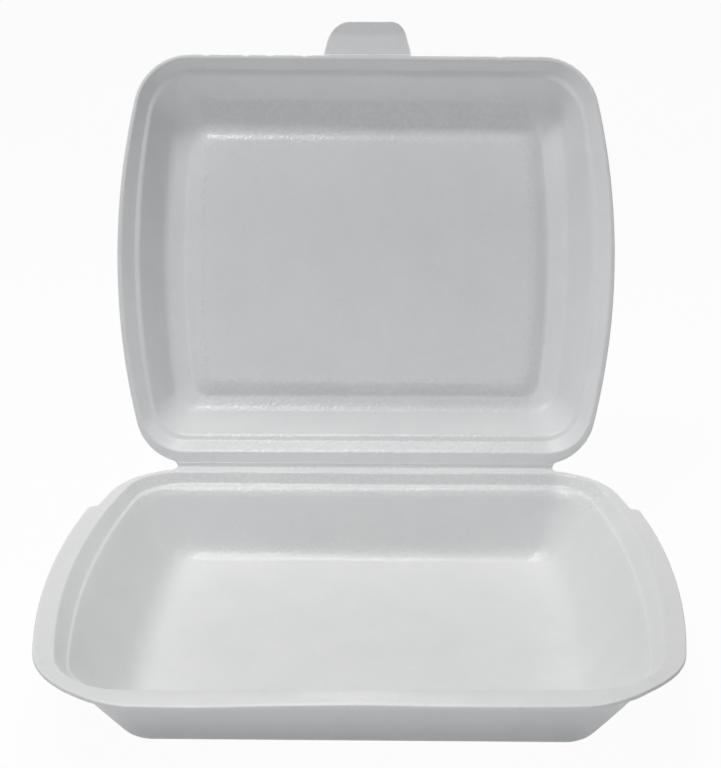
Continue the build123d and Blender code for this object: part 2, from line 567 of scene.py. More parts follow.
@dataclass(frozen=True)
class FoamFinish:
    """Skin of the white foam sheet: satin, with fine closed cells showing in it.

    Sizes are in millimetres. The tint and the shade are what the sheet's thick and thin places
    show, and the cut is bare foam. A firmly pressed place is glossy and has lively relief.
    """

    name: str = "foam_skin"
    tint: Triple = (0.886, 0.888, 0.890)
    shade: Triple = (0.850, 0.855, 0.861)
    cut: Triple = (0.91, 0.912, 0.915)
    specular: float = 0.5
    ior: float = 1.5
    cell: float = 1.3
    cell_smooth: float = 0.35
    cell_share: float = 0.5
    cell_height: float = 0.28
    pebble: float = 1.3
    pebble_detail: float = 2.0
    mottle: float = 24.0
    mottle_detail: float = 3.0
    mottle_from: float = 0.5
    mottle_to: float = 0.95
    grain: float = 2.2
    grain_detail: float = 2.0
    grain_tone: float = 0.45
    grain_rough: float = 0.1
    dull: float = 0.36
    glossy: float = 0.22
    calm: float = 0.12
    lively: float = 0.7

    def material(self) -> bpy.types.Material:
        """Build the finish's nodes.

        Returns:
            The material.
        """
        made = bpy.data.materials.new(self.name)
        made.use_nodes = True
        wiring = Wiring(made.node_tree)
        place = wiring.add("ShaderNodeTexCoord").outputs["Object"]

        def clouds(size: float, detail: float) -> bpy.types.NodeSocket:
            """Noise with waves of a size in millimetres."""
            inputs = {"Vector": place, "Scale": 1 / (size * MM), "Detail": detail}
            return wiring.add("ShaderNodeTexNoise", inputs).outputs["Fac"]

        def times_plus(value: object, factor: float, more: object) -> bpy.types.NodeSocket:
            """A value times a factor, and more added."""
            inputs = {0: value, 1: factor, 2: more}
            return wiring.add("ShaderNodeMath", inputs, operation="MULTIPLY_ADD").outputs["Value"]

        def tagged(tag: Tag) -> bpy.types.NodeSocket:
            """Value of a tag at a point."""
            return wiring.add("ShaderNodeAttribute", attribute_name=tag.value).outputs["Fac"]

        def between(value: object, low: float, high: float) -> bpy.types.NodeSocket:
            """A value from 0 to 1 spread between two others."""
            inputs = {"Value": value, "To Min": low, "To Max": high}
            return wiring.add("ShaderNodeMapRange", inputs).outputs["Result"]

        def mixed(share: object, first: object, second: object) -> bpy.types.NodeSocket:
            """Two colours mixed by a share of the second."""
            inputs = {"Factor": share, COLOUR_A: first, COLOUR_B: second}
            return wiring.add("ShaderNodeMix", inputs, data_type="RGBA").outputs[COLOUR_OUT]

        grain = clouds(self.grain, self.grain_detail)
        mottle = times_plus(grain, self.grain_tone, clouds(self.mottle, self.mottle_detail))
        limits = {"Value": mottle, "From Min": self.mottle_from, "From Max": self.mottle_to}
        tone = wiring.add("ShaderNodeMapRange", limits).outputs["Result"]
        body = mixed(tone, (*self.tint, 1.0), (*self.shade, 1.0))
        pressed = tagged(Tag.PRESSED)
        cells = wiring.add(
            "ShaderNodeTexVoronoi",
            {"Vector": place, "Scale": 1 / (self.cell * MM), "Smoothness": self.cell_smooth},
            feature="SMOOTH_F1",
        )
        pebble = clouds(self.pebble, self.pebble_detail)
        bump = wiring.add(
            "ShaderNodeBump",
            {
                "Strength": between(pressed, self.calm, self.lively),
                "Distance": self.cell_height * MM,
                "Height": times_plus(cells.outputs["Distance"], -self.cell_share, pebble),
            },
        )
        gloss = between(pressed, self.dull, self.glossy)
        skin = wiring.add(
            "ShaderNodeBsdfPrincipled",
            {
                "Base Color": mixed(tagged(Tag.TRIMMED), body, (*self.cut, 1.0)),
                "Roughness": times_plus(grain, self.grain_rough, gloss),
                "Specular IOR Level": self.specular,
                "IOR": self.ior,
                "Normal": bump.outputs["Normal"],
            },
        )
        wiring.add("ShaderNodeOutputMaterial", {"Surface": skin.outputs["BSDF"]})
        return made


@dataclass(frozen=True)
class CutCells:
    """Torn cells that stand out of a trimmed edge, strung along it by Geometry Nodes.

    Sizes are in millimetres. The spread is how far a cell may stray along X, Y and Z.
    """

    spread: Triple
    seed: int
    spacing: float = 0.85
    size: float = 0.33
    smallest: float = 0.55
    largest: float = 1.25

    def tree(self) -> bpy.types.NodeTree:
        """Node tree that strings small lumps along the edges of its host.

        Returns:
            The tree, with its sizes, seed and finish as named inputs.
        """
        tree = bpy.data.node_groups.new("cut_cells", "GeometryNodeTree")
        for label, kind in (
            ("Edges", "NodeSocketGeometry"),
            ("Spacing", "NodeSocketFloat"),
            ("Size", "NodeSocketFloat"),
            ("Spread", "NodeSocketVector"),
            ("Seed", "NodeSocketInt"),
            ("Finish", "NodeSocketMaterial"),
        ):
            tree.interface.new_socket(label, in_out="INPUT", socket_type=kind)
        tree.interface.new_socket("Cells", in_out="OUTPUT", socket_type="NodeSocketGeometry")
        wiring = Wiring(tree)
        given = wiring.add("NodeGroupInput").outputs

        def draw(turn: int, low: float, high: float) -> bpy.types.NodeSocket:
            """Random vector for each cell, by its turn among the draws from the seed."""
            seed = wiring.add("ShaderNodeMath", {0: given["Seed"], 1: turn}).outputs["Value"]
            inputs = {0: (low,) * 3, 1: (high,) * 3, "Seed": seed}
            return wiring.add("FunctionNodeRandomValue", inputs, data_type="FLOAT_VECTOR").outputs[0]

        line = wiring.add("GeometryNodeMeshToCurve", {"Mesh": given["Edges"]})
        spots = wiring.add(
            "GeometryNodeResampleCurve",
            {"Curve": line.outputs["Curve"], "Length": given["Spacing"]},
            mode="LENGTH",
        )
        stray = {0: draw(0, -1.0, 1.0), 1: given["Spread"]}
        offset = wiring.add("ShaderNodeVectorMath", stray, operation="MULTIPLY").outputs["Vector"]
        moved = wiring.add(
            "GeometryNodeSetPosition", {"Geometry": spots.outputs["Curve"], "Offset": offset}
        )
        lump = wiring.add("GeometryNodeMeshIcoSphere", {"Subdivisions": 1, "Radius": given["Size"]})
        strung = wiring.add(
            "GeometryNodeInstanceOnPoints",
            {
                "Points": moved.outputs["Geometry"],
                "Instance": lump.outputs["Mesh"],
                "Rotation": draw(1, 0.0, 2 * math.pi),
                "Scale": draw(2, self.smallest, self.largest),
            },
        )
        real = wiring.add("GeometryNodeRealizeInstances", {"Geometry": strung.outputs["Instances"]})
        clad = wiring.add(
            "GeometryNodeSetMaterial",
            {"Geometry": real.outputs["Geometry"], "Material": given["Finish"]},
        )
        wiring.add("NodeGroupOutput", {"Cells": clad.outputs["Geometry"]})
        return tree

    def build(
        self, name: str, path: np.ndarray, kept: np.ndarray, finish: bpy.types.Material, body: Body
    ) -> bpy.types.Object:
        """String cells along the kept runs of a path.

        Args:
            name: Name of the piece.
            path: Closed row of places in metres.
            kept: Which of its points the edge runs over.
            finish: Skin of the foam.
            body: Body that carries the edge.

        Returns:
            The piece, as a plain mesh.
        """
        after = np.roll(np.arange(len(path)), -1)
        runs = [(int(a), int(b)) for a, b in enumerate(after) if kept[a] and kept[b]]
        host = bpy.data.meshes.new(name)
        host.from_pydata(path.tolist(), runs, [])
        piece = linked(name, host)
        tree = self.tree()
        values = {
            "Spacing": self.spacing * MM,
            "Size": self.size * MM,
            "Spread": tuple(MM * far for far in self.spread),
            "Seed": self.seed,
            "Finish": finish,
        }
        string = piece.modifiers.new("cells", "NODES")
        string.node_group = tree
        for socket in tree.interface.items_tree:
            if socket.in_out == "INPUT" and socket.name in values:
                string[socket.identifier] = values[socket.name]
        applied(piece)
        bpy.data.node_groups.remove(tree)
        piece.data.shade_smooth()
        worked(piece, 1.0, 0.0)
        dress(piece, finish)
        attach(piece, body.value)
        return piece


class Ridge(NamedTuple):
    """Low ridge or dip along the rim: where it lies, how wide it is and how far it falls."""

    reach: float
    width: float
    fall: float

    def at(self, reach: np.ndarray) -> np.ndarray:
        """Fall of the ridge at some reaches."""
        return self.fall * np.exp(-(((reach - self.reach) / self.width) ** 2))


@dataclass(frozen=True)
class RimBend:
    """How the front of the base's rim is bent out of its plane, in millimetres."""

    reach: float = 120.0
    run: float = 70.0
    deepest: float = 26.0
    sag_x: tuple[float, ...] = (-124.0, -95.0, -55.0, -22.0, 0.0, 30.0, 90.0)
    sag: tuple[float, ...] = (0.2, 0.7, 1.0, 0.1, -0.3, 0.0, -0.3)
    lifted: Mark = Mark(112.0, 186.0, 26.0, -1.6, 24.0 / 26.0)
    slit_fade: float = 4.0
    slit_middle: float = 190.7
    lip: Ridge = Ridge(191.2, 2.6, -0.2)
    sill: Ridge = Ridge(189.5, 0.9, 0.35)
    droop: float = 0.8
    droop_from: float = 192.0
    droop_run: float = 7.0
    droop_power: float = 1.3
    droop_half: float = 112.0
    droop_fade: float = 20.0

    def fall(self, points: np.ndarray, slit_half: float) -> np.ndarray:
        """How far the rim lies below its plane.

        Args:
            points: Rows of X, reach and depth.
            slit_half: Half the slit's length.

        Returns:
            A fall for each point.
        """
        x, reach, depth = points.T
        aside = np.abs(x)
        ahead = np.clip((reach - self.reach) / self.run, 0.0, 1.0) ** 2
        high = np.clip(1.0 - depth / self.deepest, 0.0, 1.0)
        by_slit = np.clip((slit_half + self.slit_fade / 2 - aside) / self.slit_fade, 0.0, 1.0)
        lip = self.lip.at(reach) * (reach > self.slit_middle)
        sill = self.sill.at(reach) * (reach < self.slit_middle)
        outward = np.clip((reach - self.droop_from) / self.droop_run, 0.0, 1.0) ** self.droop_power
        between = np.clip((self.droop_half - aside) / self.droop_fade, 0.0, 1.0)
        bent = np.interp(x, self.sag_x, self.sag) + self.lifted.shift(points)
        return (bent + by_slit * (lip + sill) + self.droop * outward * between) * ahead * high


@dataclass
class BaseShell:
    """Tray of the box: floor, sloping walls, ledge, ridge, drooping flange and slit.

    Sizes are in millimetres. The flange ends in an ear at each side, and a narrow strip of rim
    runs on behind it to the hinge. The waves of the inside run on over the first rows of the
    trimmed edge.
    """

    plane: RimPlane = BASE_PLANE
    seam: Level = Level(0.0, 115.0, 190.4, 6.3, 27.0, 22.0)
    crest: Level = Level(0.0, 115.7, 190.8, 5.6, 27.3, 22.4)
    edge: Level = Level(0.4, 123.6, 198.9, -11.8, 42.0, 24.5, 339.0)
    strip: Level = Level(0.0, 120.5, 190.6, 1.6, 27.0, 35.0)
    ear_reach: float = 43.5
    ear_round: float = 2.6
    ear_steps: int = 9
    ear_past: Triple = (0.12, 0.6, 1.2)
    corner_trim: float = 0.12
    flange_shares: tuple[float, ...] = (0.08, 0.2, 0.36, 0.52, 0.68, 0.84)
    under_shares: tuple[float, ...] = (0.2, 0.4, 0.6, 0.8)
    firm_depths: tuple[float, ...] = (7.0, 11.0, 26.0, 31.0, 34.5)
    firmness: tuple[float, ...] = (1.0, PLAIN, PLAIN, 1.0, PLAIN)
    firm_reach: float = 62.0
    firm_run: float = 36.0
    slit_half: float = 20.8
    slit: tuple[float, float] = (190.0, 191.35)
    slit_deep: float = 6.5
    slit_above: float = 2.0
    bend: RimBend = RimBend()
    marks: tuple[Mark, ...] = (
        Mark(25.3, 74.4, 1.6, -0.35, 1.8),
        Mark(91.8, 186.6, 2.0, 0.6),
        Mark(94.3, 182.6, 2.0, 0.7),
        Mark(96.8, 179.0, 2.0, 0.5),
        Mark(98.6, 184.6, 2.4, -0.6),
        Mark(95.6, 196.0, 2.6, 0.8),
    )
    foot_calm: float = 1.0
    foot_run: float = 8.0
    inside_waves: float = 0.8
    edge_waves: int = 2
    cut_cells: CutCells = CutCells((0.1, 0.1, 0.5), 11)
    perimeter: Perimeter = field(init=False)
    ear_share: float = field(init=False)
    cut_line: np.ndarray = field(init=False)

    def __post_init__(self) -> None:
        """Work fine columns in where the flange begins."""
        plain = Perimeter()
        half = plain.half(self.crest)
        mid = (self.crest.nose + self.crest.heel) / 2
        front, ear, rear = (
            math.asin((reach - mid) / self.crest.bow)
            for reach in (
                half[plain.stretches()[2]][0, 1],
                self.ear_reach,
                half[plain.stretches()[3]][0, 1],
            )
        )
        self.ear_share = (ear - front) / (rear - front)
        length = abs(self.crest.bow * (rear - front))
        round_steps = np.linspace(-self.ear_round, 0.0, self.ear_steps)
        steps = np.concatenate([round_steps, self.ear_past])
        self.perimeter = Perimeter(fine=tuple(self.ear_share + steps / length))

    def flange_edge(self) -> np.ndarray:
        """Top edge of the flange and of the narrower rim behind it.

        Returns:
            A closed row of X, reach and depth.
        """
        columns = self.perimeter
        shares = columns.side_shares()
        _, ahead, side, corner, back = columns.stretches()
        half, crest = columns.half(self.edge), columns.half(self.crest)

        def bowed(level: Level, reach: np.ndarray) -> np.ndarray:
            """X of a level's bowed side at some reaches."""
            mid = (level.nose + level.heel) / 2
            return level.side - level.bow + np.sqrt(level.bow**2 - (reach - mid) ** 2)

        start = half[side][0, 1]
        along = np.clip(shares / self.ear_share, 0.0, 1.0)
        reach = start + (self.ear_reach - start) * along
        turn = np.clip((self.ear_reach + self.ear_round - reach) / self.ear_round, 0.0, 1.0)
        angle = turn * math.pi / 2
        rounded = self.ear_reach + self.ear_round * (1 - np.sin(angle))
        half[side, 0] = bowed(self.edge, reach) - self.ear_round * (1 - np.cos(angle))
        half[side, 1] = np.where(turn > 0, rounded, reach)

        behind = columns.half(self.strip)
        last = behind[corner][0, 1]
        past = np.clip((shares - self.ear_share) / (1 - self.ear_share), 0.0, 1.0)
        behind[side, 1] = self.ear_reach + (last - self.ear_reach) * past
        behind[side, 0] = bowed(self.strip, behind[side, 1])
        rear = np.zeros(len(half), bool)
        rear[side] = shares > self.ear_share + HAIR
        rear[side.stop :] = True
        half[rear] = behind[rear]

        eased = np.sin(np.linspace(0.0, math.pi, columns.corner)) ** 2 * self.corner_trim
        half[ahead] += (crest[ahead] - half[ahead]) * eased[:, None]
        width = np.hypot(*(half - crest).T)
        full = self.edge.side - self.crest.side
        droop = np.where(rear, self.edge.depth * width / full, self.edge.depth)
        fade = np.ones(len(half))
        fade[corner] = np.linspace(1.0, 0.0, columns.corner)
        fade[back] = 0.0
        return closed(np.column_stack([half, droop * fade]))

    def inner(self) -> list[Level]:
        """Section of the inside.

        Returns:
            Levels from the floor up to the crest of the rim.
        """
        return softened(
            [
                (Level(34.5, 70.0, 147.9, 42.6, 7.0, 7.0, 700.0), 0.0),
                (Level(34.5, 87.2, 165.0, 25.3, 10.5, 9.5, 700.0), 6.4),
                (Level(8.0, 106.8, 182.9, 14.2, 23.0, 17.5, 412.0), 1.6),
                (Level(5.4, 108.9, 184.7, 12.0, 24.0, 18.5, 384.0), 0.9),
                (Level(4.85, 110.3, 186.2, 8.8, 25.0, 20.5, 378.0), 0.7),
                (self.seam, 0.8),
                (self.crest, 0.0),
            ]
        )

    def outer(self) -> list[Level]:
        """Section of the outside.

        Returns:
            Levels from the root of the flange down to the foot.
        """
        return softened(
            [
                (Level(1.85, 116.6, 192.0, 4.5, 27.9, 22.9), 0.0),
                (Level(6.9, 111.7, 187.6, 7.2, 25.7, 21.2, 395.0), 1.0),
                (Level(7.4, 110.4, 186.2, 9.5, 24.7, 19.2, 400.0), 0.8),
                (Level(9.5, 108.7, 184.8, 12.2, 24.0, 18.5, 420.0), 1.0),
                (Level(36.9, 88.6, 167.0, 23.6, 11.5, 10.0, 700.0), 3.0),
                (Level(36.9, 70.0, 147.9, 42.6, 7.0, 7.0, 700.0), 0.0),
            ]
        )

    def hoops(self) -> list[Hoop]:
        """Rows of the shell, and the line of its cut edge.

        Returns:
            The rows from the middle of the floor to the middle of the foot.
        """
        columns = self.perimeter
        inner, outer = self.inner(), self.outer()
        rows = disc(columns.ring(inner[0]), FLOOR_SHARES)
        for level in inner:
            ring = columns.ring(level)
            firm = float(np.interp(level.depth, self.firm_depths, self.firmness))
            rear = np.clip((self.firm_reach - ring[:, 1]) / self.firm_run, 0.0, 1.0)
            rows.append(Hoop(ring, pressed=PLAIN + (firm - PLAIN) * rear))
        rim = len(rows)
        flange, inward = rim_rows(rows[-1].points, self.flange_edge(), self.flange_shares, PLAIN)
        rows += flange
        root, under = columns.ring(outer[0]), rows[-1].points
        rows += [Hoop(under + (root - under) * share) for share in self.under_shares]
        rows += [Hoop(columns.ring(level)) for level in outer]
        rows += disc(rows[-1].points, BACK_SHARES)
        self.wear(rows, rim)
        self.cut_line = cut_path(rows, inward)
        return rows

    def wear(self, rows: list[Hoop], rim: int) -> None:
        """Give the rows their waves, bend and marks, and keep the foot flat.

        Args:
            rows: All rows of the shell.
            rim: Number of the first row of the flange.
        """
        top = rim + len(self.flange_shares) + self.edge_waves
        flange = rim + len(self.flange_shares) + 2 * TRIM_STEPS + len(self.under_shares)
        for i, row in enumerate(rows):
            points = row.points
            height = self.plane.crease[2] - points[:, 2]
            share = np.clip((height - self.foot_calm) / self.foot_run, 0.0, 1.0)
            if i < top:
                share = np.maximum(share, self.inside_waves)
            wave = unevenness(points, BASE_WAVES) * share
            points[:, 2] += wave + self.bend.fall(points, self.slit_half)
            if i < flange:
                for mark in self.marks:
                    points[:, 2] += mark.shift(points)

    def cutter(self) -> bpy.types.Object:
        """Thin block that cuts the slit for the tab.

        Returns:
            The block, to be removed after the cut.
        """
        h = self.slit_half
        depths = (-self.slit_above, self.slit_deep)
        corners = [(x, reach, depth) for depth in depths for reach in self.slit for x in (-h, h)]
        faces = [[0, 1, 3, 2], [4, 6, 7, 5], [0, 4, 5, 1], [2, 3, 7, 6], [0, 2, 6, 4], [1, 5, 7, 3]]
        return mesh_object("slit_block", self.plane.place(np.array(corners)), faces)

    def build(self, finish: bpy.types.Material) -> bpy.types.Object:
        """Make the base and put it in the place of its node.

        Args:
            finish: Skin of the foam.

        Returns:
            The piece.
        """
        piece = shell_object("base_shell", self.hoops(), self.plane)
        block = self.cutter()
        cut = piece.modifiers.new("slit", "BOOLEAN")
        cut.operation = "DIFFERENCE"
        cut.solver = "EXACT"
        cut.object = block
        applied(piece)
        bpy.data.objects.remove(block)
        smooth(piece.data)
        dress(piece, finish)
        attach(piece, Body.BASE.value)
        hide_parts("base")
        return piece

    def cells(self, finish: bpy.types.Material) -> bpy.types.Object:
        """Make the torn cells along the cut edge of the flange.

        Args:
            finish: Skin of the foam.

        Returns:
            The piece.
        """
        kept = self.cut_line[:, 1] > CELLS_FROM
        path = self.plane.place(self.cut_line)
        return self.cut_cells.build("base_cut_cells", path, kept, finish, Body.BASE)


def lid_wave(points: np.ndarray, still: float = 2.0, run: float = 14.0) -> np.ndarray:
    """How far the lid's waves push points into it.

    Args:
        points: Rows of X, reach and depth in millimetres.
        still: Reach up to which the rim is still, beside the hinge.
        run: Reach over which the waves grow to their full height.

    Returns:
        A push for each point.
    """
    return unevenness(points, LID_WAVES) * np.clip((points[:, 1] - still) / run, 0.0, 1.0)


@dataclass
class LidShell:
    """Lid of the box: raised panel in a groove, walls, step, band and flat lip.

    Sizes are in millimetres. The nicks are places along the front lip with their depths, and the
    skew is how much further the lip's front reaches on one side than in its middle.
    """

    plane: RimPlane = LID_PLANE
    seam: Level = Level(0.0, 113.0, 187.9, 7.0, 25.0, 20.5)
    lip: Level = Level(0.0, 115.0, 189.9, 1.6, 27.0, 24.5)
    lip_shares: tuple[float, float] = (0.35, 0.7)
    firm_depths: tuple[float, ...] = (8.0, 12.0, 20.0, 23.4)
    firmness: tuple[float, ...] = (1.0, PLAIN, PLAIN, 1.0)
    panel_side: float = 78.0
    panel_fade: float = 10.0
    band_depth: float = 15.0
    band_reach: float = 120.0
    band_run: float = 40.0
    marks: tuple[Mark, ...] = (
        Mark(66.3, 57.0, 1.9, 0.45),
        Mark(59.4, 147.0, 1.9, 0.4),
    )
    nicks: tuple[tuple[float, float], ...] = (
        (-73.5, 0.5),
        (-55.1, 0.6),
        (-44.1, 0.45),
        (-28.4, 0.55),
        (61.0, 0.4),
    )
    nick_width: float = 1.3
    nick_from: float = 187.5
    nick_run: float = 1.6
    nick_depth: float = 2.0
    skew: float = 0.9
    tab_clear: float = 23.0
    tab_reach: float = 180.0
    cut_cells: CutCells = CutCells((0.1, 0.5, 0.2), 23)
    perimeter: Perimeter = Perimeter(front=64)
    cut_line: np.ndarray = field(init=False)

    def inner(self) -> list[Level]:
        """Section of the inside.

        Returns:
            Levels from the panel down into the groove and up the wall to the lip's seam.
        """
        return softened(
            [
                (Level(23.2, 70.0, 144.2, 48.2, 4.0, 4.0, 450.0), 0.0),
                (Level(23.2, 80.6, 154.8, 37.6, 5.0, 5.0, 450.0), 2.6),
                (Level(27.0, 87.2, 161.2, 31.6, 8.0, 8.0, 450.0), 1.2),
                (Level(25.0, 94.6, 169.6, 26.2, 14.5, 10.5, 450.0), 1.4),
                (Level(23.4, 97.0, 172.9, 24.0, 15.8, 11.3, 450.0), 2.0),
                (Level(6.7, 105.7, 181.2, 14.3, 22.0, 16.6, 374.0), 1.0),
                (Level(5.9, 108.0, 183.9, 11.6, 23.3, 18.1, 350.0), 0.5),
                (self.seam, 0.8),
                (self.lip, 0.0),
            ]
        )[:-1]

    def outer(self) -> list[Level]:
        """Section of the outside.

        Returns:
            Levels from behind the lip down the wall and in over the recessed panel.
        """
        return softened(
            [
                (Level(1.75, 114.2, 189.0, 5.7, 25.7, 21.2), 0.0),
                (Level(5.8, 110.1, 185.9, 9.6, 24.3, 19.3, 350.0), 0.9),
                (Level(10.3, 108.5, 183.8, 11.6, 23.4, 17.9, 372.0), 0.9),
                (Level(28.1, 96.2, 172.1, 25.1, 15.8, 11.3, 450.0), 3.0),
                (Level(28.3, 86.7, 160.5, 32.0, 8.0, 8.0, 450.0), 1.6),
                (Level(25.1, 80.6, 154.8, 37.6, 5.0, 5.0, 450.0), 2.4),
                (Level(25.1, 70.0, 144.2, 48.2, 4.0, 4.0, 450.0), 0.0),
            ]
        )

    def pressed(self, level: Level, ring: np.ndarray) -> float | np.ndarray:
        """How firmly a level was pressed: calmer at the sides and on the upper band.

        Args:
            level: The level.
            ring: Its closed outline.

        Returns:
            One value on the panel, elsewhere a value for each point.
        """
        if level.side < self.panel_side:
            return PANEL
        firm = float(np.interp(level.depth, self.firm_depths, self.firmness))
        beside = np.clip((np.abs(ring[:, 0]) - self.panel_side) / self.panel_fade, 0.0, 1.0)
        upper = np.clip((ring[:, 1] - self.band_reach) / self.band_run, 0.0, 1.0)
        calmed = np.maximum(beside, upper * (level.depth < self.band_depth))
        return firm + (PLAIN - firm) * calmed

    def hoops(self) -> list[Hoop]:
        """Rows of the shell, and the line of its cut edge.

        Returns:
            The rows from the middle of the panel to the middle of its back.
        """
        columns = self.perimeter
        inner = self.inner()
        rows = disc(columns.ring(inner[0]), FLOOR_SHARES, PANEL)
        for level in inner:
            ring = columns.ring(level)
            rows.append(Hoop(ring, pressed=self.pressed(level, ring)))
        edge = columns.ring(self.lip)
        lip, inward = rim_rows(rows[-1].points, edge, self.lip_shares, LID_LIP)
        rows += lip
        rows += [Hoop(columns.ring(level)) for level in self.outer()]
        rows += disc(rows[-1].points, BACK_SHARES)
        self.wear(rows)
        self.cut_line = cut_path(rows, inward)
        return rows

    def wear(self, rows: list[Hoop]) -> None:
        """Give the rows their waves and skew, and the panel and the lip their marks.

        Args:
            rows: All rows of the shell.
        """
        for row in rows:
            points = row.points
            push = lid_wave(points)
            for mark in self.marks:
                push += mark.shift(points)
            lip = np.clip((points[:, 1] - self.nick_from) / self.nick_run, 0.0, 1.0)
            lip *= points[:, 2] < self.nick_depth
            for x, depth in self.nicks:
                near = np.exp(-(((points[:, 0] - x) / self.nick_width) ** 2))
                points[:, 1] -= depth * lip * near
            ahead = (points[:, 1] / self.lip.nose) ** 2
            points[:, 1] -= self.skew * points[:, 0] / self.lip.side * ahead
            points[:, 2] += push

    def build(self, finish: bpy.types.Material) -> bpy.types.Object:
        """Make the lid and put it in the place of its node.

        Args:
            finish: Skin of the foam.

        Returns:
            The piece.
        """
        piece = shell_object("lid_shell", self.hoops(), self.plane)
        dress(piece, finish)
        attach(piece, Body.LID.value)
        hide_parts("lid")
        return piece

    def cells(self, finish: bpy.types.Material) -> bpy.types.Object:
        """Make the torn cells along the cut edge of the lip, clear of the tab and the crease.

        Args:
            finish: Skin of the foam.

        Returns:
            The piece.
        """
        x, reach, _ = self.cut_line.T
        by_tab = (np.abs(x) < self.tab_clear) & (reach > self.tab_reach)
        kept = (reach > CELLS_FROM) & ~by_tab
        path = self.plane.place(self.cut_line)
        return self.cut_cells.build("lid_cut_cells", path, kept, finish, Body.LID)


@dataclass
class LockingTab:
    """Tongue on the lid's front edge, with a trimmed tip that leans in over a faint bend.

    Sizes are in millimetres. The rounds are those of the tip's two corners.
    """

    root_half: float = 20.0
    tip_half: float = 15.8
    length: float = 14.3
    thick: float = 1.2
    rounds: tuple[float, float] = (7.6, 4.8)
    lean_deg: float = 4.0
    root_reach: float = 190.05
    shift: float = 0.7
    inset: float = 0.3
    bend_at: float = 8.0
    bend_deg: float = 22.0
    bend_soft: float = 0.6
    rows: int = 30
    columns: int = 48
    bevel: float = 0.32
    bevel_steps: int = 3
    bevel_from_deg: float = 50.0
    smooth_deg: float = 60.0
    cell_inset: float = 0.1
    cells_from: float = 1.5
    cut_cells: CutCells = CutCells((0.1, 0.3, 0.15), 37)
    cut_line: np.ndarray = field(init=False)

    def root(self) -> np.ndarray:
        """Middle of the tab's root on the inner face of the lid's rim, in metres."""
        return LID_PLANE.place(np.array((0.0, self.root_reach, 0.0)))

    def plane(self) -> RimPlane:
        """Plane of the tab's inner face, leaning in from the lid's.

        Returns:
            The plane, with its crease at the tab's root.
        """
        turn = math.radians(OPEN_DEG - self.lean_deg)
        forward = (0.0, -math.cos(turn), math.sin(turn))
        return RimPlane(tuple(self.root() / MM), forward, (0.0, math.sin(turn), math.cos(turn)))

    def half_width(self, along: np.ndarray, radius: float) -> np.ndarray:
        """Half width of the tongue, with its tip rounded.

        Args:
            along: Distances from the root.
            radius: Round of the tip's corner.

        Returns:
            A half width for each distance.
        """
        taper = self.root_half + (self.tip_half - self.root_half) * along / self.length
        over = np.clip(along - (self.length - radius), 0.0, radius)
        return taper - radius + np.sqrt(radius**2 - over**2)

    def face(self) -> np.ndarray:
        """Inner face of the tongue.

        Returns:
            A grid of X, reach and depth, row by row from the root to the tip.
        """
        along = self.length * np.sin(np.linspace(0.0, math.pi / 2, self.rows))
        left, right = (self.half_width(along, radius) for radius in self.rounds)
        across = np.linspace(-1.0, 1.0, self.columns)
        x = np.where(across < 0, across * left[:, None], across * right[:, None])
        reach = np.repeat(along[:, None], self.columns, axis=1)
        over = np.clip(reach - self.bend_at, 0.0, None)
        eased = over - self.bend_soft * (1 - np.exp(-over / self.bend_soft))
        depth = self.inset - math.tan(math.radians(self.bend_deg)) * eased
        return np.stack([x + self.shift, reach, depth], axis=2)

    def build(self, finish: bpy.types.Material) -> bpy.types.Object:
        """Make the tab and put it in the place of its node.

        Args:
            finish: Skin of the foam.

        Returns:
            The piece.
        """
        face = self.face()
        back = face + INTO * self.thick
        count = self.rows * self.columns
        grid = np.arange(count).reshape(self.rows, self.columns)
        corners = [grid[:-1, :-1], grid[:-1, 1:], grid[1:, 1:], grid[1:, :-1]]
        quads = np.stack(corners, axis=2).reshape(-1, 4)
        loop = np.concatenate([grid[0], grid[1:, -1], grid[-1, -2::-1], grid[-2:0:-1, 0]])
        after = np.roll(loop, -1)
        rim = np.stack([after, loop, loop + count, after + count], axis=1)
        faces = quads.tolist() + (quads[:, ::-1] + count).tolist() + rim.tolist()
        points = np.concatenate([face.reshape(-1, 3), back.reshape(-1, 3)])
        edge = np.concatenate([face[1:, 0], face[-1, 1:-1], face[:0:-1, -1]])
        self.cut_line = edge + np.array((0.0, -self.cell_inset, self.thick / 2))
        piece = mesh_object("locking_tab_tongue", self.plane().place(points), faces)
        worked(piece, 0.0, PLAIN)
        bevel = piece.modifiers.new("trim", "BEVEL")
        bevel.width = self.bevel * MM
        bevel.segments = self.bevel_steps
        bevel.limit_method = "ANGLE"
        bevel.angle_limit = math.radians(self.bevel_from_deg)
        applied(piece)
        smooth(piece.data, self.smooth_deg)
        dress(piece, finish)
        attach(piece, Body.TAB.value)
        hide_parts("locking_tab")
        return piece

    def cells(self, finish: bpy.types.Material) -> bpy.types.Object:
        """Make the torn cells round the cut edge of the tongue.

        Args:
            finish: Skin of the foam.

        Returns:
            The piece.
        """
        kept = self.cut_line[:, 1] > self.cells_from
        path = self.plane().place(self.cut_line)
        return self.cut_cells.build("tab_cut_cells", path, kept, finish, Body.TAB)


